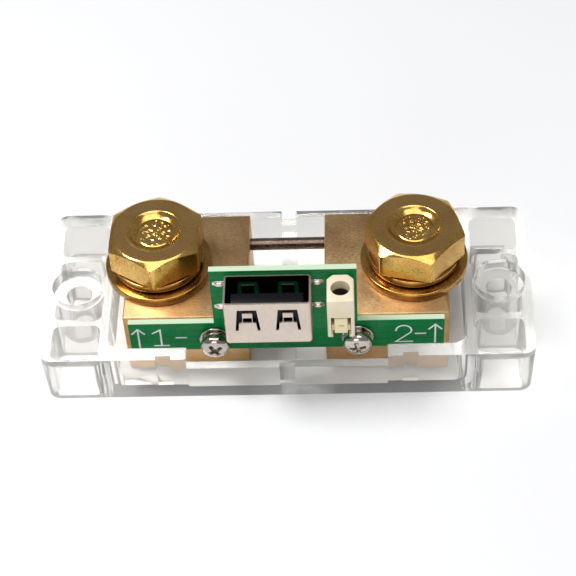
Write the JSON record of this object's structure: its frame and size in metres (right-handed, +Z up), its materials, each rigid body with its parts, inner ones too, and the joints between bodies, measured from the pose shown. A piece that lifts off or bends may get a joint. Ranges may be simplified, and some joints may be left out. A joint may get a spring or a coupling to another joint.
{
  "type": "battery monitor shunt",
  "caption": "Current shunt of a battery monitor: brass bolt terminals and resistance rods on a clear base, with a sensing board, an upright USB-A socket and a push-in wire terminal.",
  "frame": {"origin": "centre of the base's underside, on the surface that the base is screwed to", "axes": "+X along the base from the battery-side terminal to the load-side terminal, +Y away from the sensing board, +Z up through the bolts"},
  "size_m": [0.0776, 0.0337, 0.0254],
  "materials": {
    "clear_plastic": "clear moulded polycarbonate, glossy",
    "sanded_brass": "sanded, satin",
    "bright_brass": "bright, turned and forged",
    "washer_brass": "stamped, satin",
    "manganin": "dark drawn manganin rod",
    "board_green": "glass-epoxy board with green solder mask",
    "nickel_shell": "nickel-plated stamped steel",
    "nickel_screw": "nickel-plated steel, bright",
    "black_nylon": "moulded black nylon",
    "gold_contact": "gold-flashed phosphor bronze",
    "cream_nylon": "moulded cream nylon",
    "tinned_spring": "tin-plated spring steel",
    "chip_epoxy": "black moulded epoxy",
    "ceramic_tan": "tan ceramic"
  },
  "bodies": {
    "base": {"base_tray": "clear_plastic", "left_terminal_block": "sanded_brass", "right_terminal_block": "sanded_brass", "front_resistance_rod": "manganin", "rear_resistance_rod": "manganin", "circuit_board": "board_green", "left_board_screw": "nickel_screw", "right_board_screw": "nickel_screw", "left_board_spring_washer": "nickel_screw", "right_board_spring_washer": "nickel_screw", "left_board_flat_washer": "nickel_screw", "right_board_flat_washer": "nickel_screw", "usb_shell": "nickel_shell", "usb_insulator": "black_nylon", "usb_contact_1": "gold_contact", "usb_contact_2": "gold_contact", "usb_contact_3": "gold_contact", "usb_contact_4": "gold_contact", "lead_terminal_body": "cream_nylon", "lead_terminal_clamp": "tinned_spring", "lead_terminal_pin": "tinned_spring", "sense_amplifier": "chip_epoxy", "controller_chip": "chip_epoxy", "voltage_regulator": "chip_epoxy", "input_capacitor": "ceramic_tan", "output_capacitor": "ceramic_tan", "sense_resistor_left": "chip_epoxy", "sense_resistor_right": "chip_epoxy", "left_base_screw": "nickel_screw", "right_base_screw": "nickel_screw"},
    "left_washers": {"left_flat_washer": "washer_brass", "left_spring_washer": "washer_brass"},
    "left_bolt": {"left_terminal_bolt": "bright_brass"},
    "right_washers": {"right_flat_washer": "washer_brass", "right_spring_washer": "washer_brass"},
    "right_bolt": {"right_terminal_bolt": "bright_brass"},
    "release_tab": {"release_tab": "cream_nylon"}
  },
  "joints": [
    {"name": "left_bolt_lift", "type": "slide", "parent": "base", "child": "left_washers", "axis": [0, 0, 1], "range_m": [0, 0.01001]},
    {"name": "left_bolt_turn", "type": "hinge", "parent": "left_washers", "child": "left_bolt", "pos_m": [-0.02025, 0, 0.0137], "axis": [0, 0, 1], "range_deg": [0, 2880]},
    {"name": "right_bolt_lift", "type": "slide", "parent": "base", "child": "right_washers", "axis": [0, 0, 1], "range_m": [0, 0.01001]},
    {"name": "right_bolt_turn", "type": "hinge", "parent": "right_washers", "child": "right_bolt", "pos_m": [0.02025, 0, 0.0137], "axis": [0, 0, 1], "range_deg": [0, 2880]},
    {"name": "release_tab_press", "type": "slide", "parent": "base", "child": "release_tab", "axis": [0, 1, 0], "range_m": [0, 0.0007], "stiffness_N_per_m": 700}
  ],
  "couplings": [
    {"joint": "left_bolt_lift", "follows": "left_bolt_turn", "m_per_rad": 0.00019894},
    {"joint": "right_bolt_lift", "follows": "right_bolt_turn", "m_per_rad": 0.00019894}
  ]
}
